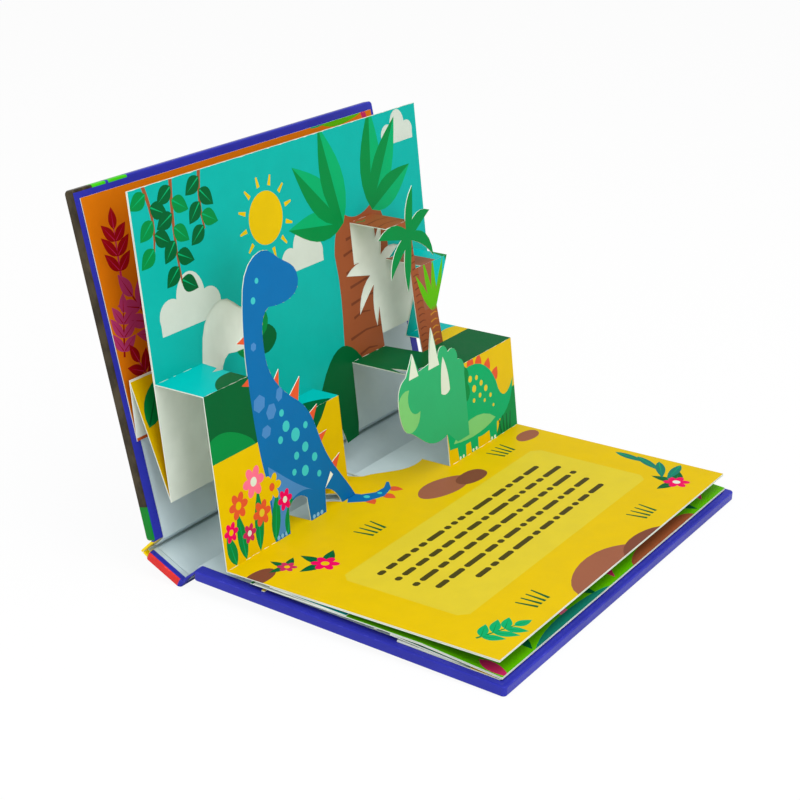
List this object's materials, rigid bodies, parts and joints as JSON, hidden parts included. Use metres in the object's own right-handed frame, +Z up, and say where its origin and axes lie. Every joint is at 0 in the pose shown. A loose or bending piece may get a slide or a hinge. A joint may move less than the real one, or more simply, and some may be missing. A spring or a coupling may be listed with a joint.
{
  "type": "pop up book",
  "caption": "Hardcover pop-up book standing open at a die-cut spread, with stepped boxes and figures that rise from the fold, closed spreads behind it and hinged covers.",
  "frame": {"origin": "the middle of the footprint, on the table", "axes": "+X along the fold of the open spread, +Y from the reader to the standing front cover, +Z up"},
  "size_m": [0.225, 0.2218, 0.178],
  "materials": {
    "board": "plain greyboard",
    "cover_paper": "gloss laminated print",
    "spine_paper": "gloss laminated print",
    "lining": "matt paper",
    "orange_card": "satin printed card",
    "printed_card": "satin printed card",
    "green_card": "satin printed card",
    "yellow_card": "satin printed card"
  },
  "bodies": {
    "page_block": {"spine_board": "board", "spine_wrap": "spine_paper", "spine_lining": "lining", "spread_1": "orange_card", "spread_2": "printed_card", "spread_3": "green_card", "spread_4": "yellow_card"},
    "front_cover": {"front_board": "board", "front_wrap": "cover_paper", "front_lining": "lining"},
    "back_cover": {"back_board": "board", "back_wrap": "cover_paper", "back_lining": "lining"}
  },
  "joints": [
    {"name": "front_cover_hinge", "type": "hinge", "parent": "page_block", "child": "front_cover", "pos_m": [0, 0.0792, 0.01223], "axis": [-1, 0, 0], "range_deg": [0, 75]},
    {"name": "back_cover_hinge", "type": "hinge", "parent": "page_block", "child": "back_cover", "pos_m": [0, 0.0532, 0.00623], "axis": [1, 0, 0], "range_deg": [0, 80]}
  ]
}
